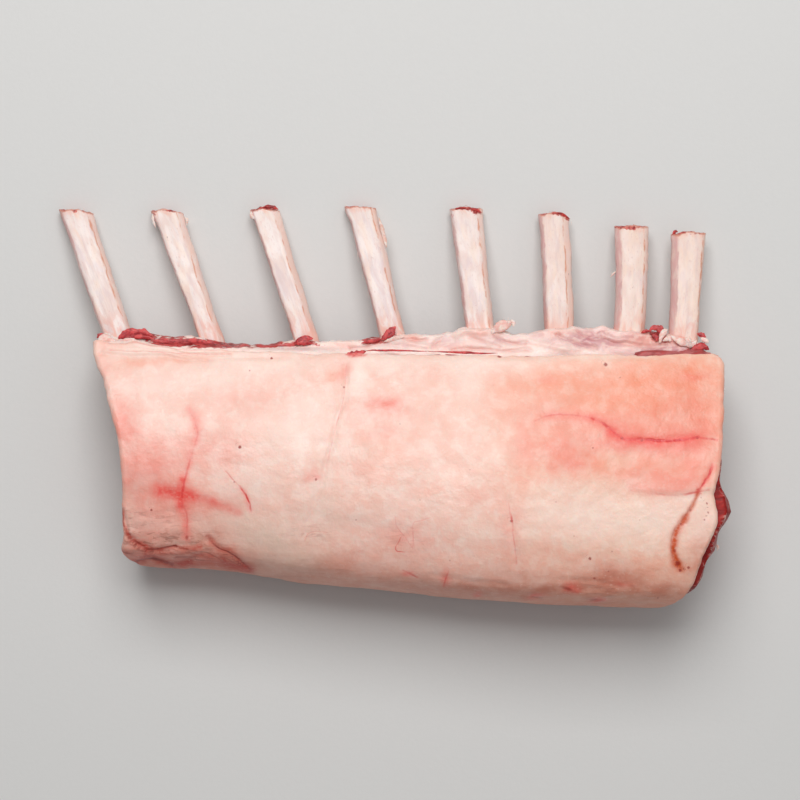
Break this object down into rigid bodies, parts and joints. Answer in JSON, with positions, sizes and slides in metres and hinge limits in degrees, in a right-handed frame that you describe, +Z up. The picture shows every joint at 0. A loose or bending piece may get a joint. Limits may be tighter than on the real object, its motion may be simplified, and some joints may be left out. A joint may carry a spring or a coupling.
{
  "type": "raw rack of lamb",
  "caption": "Raw rack of lamb lying fat side up: scraped rib bones along one edge, the loin muscle, the flank tissue round the ribs and a pale fat cap over all of it.",
  "frame": {"origin": "on the table, under the middle of the rack's bounding box, lying fat side up", "axes": "+X along the row of ribs, from the wide-spaced end to the loin's bulging cut face; +Y towards the rib tips; +Z up through the fat cap"},
  "size_m": [0.2381, 0.1427, 0.0485],
  "materials": {
    "fat": "moist pale fat, satin",
    "meat": "moist raw muscle, semi-gloss",
    "tissue": "moist flank tissue and membrane, semi-gloss",
    "bone": "scraped moist bone, satin"
  },
  "bodies": {
    "root": {"fat_cap": "fat", "loin_meat": "meat", "flank_tissue": "tissue", "rib_bone_1": "bone", "rib_bone_2": "bone", "rib_bone_3": "bone", "rib_bone_4": "bone", "rib_bone_5": "bone", "rib_bone_6": "bone", "rib_bone_7": "bone", "rib_bone_8": "bone"}
  },
  "joints": []
}
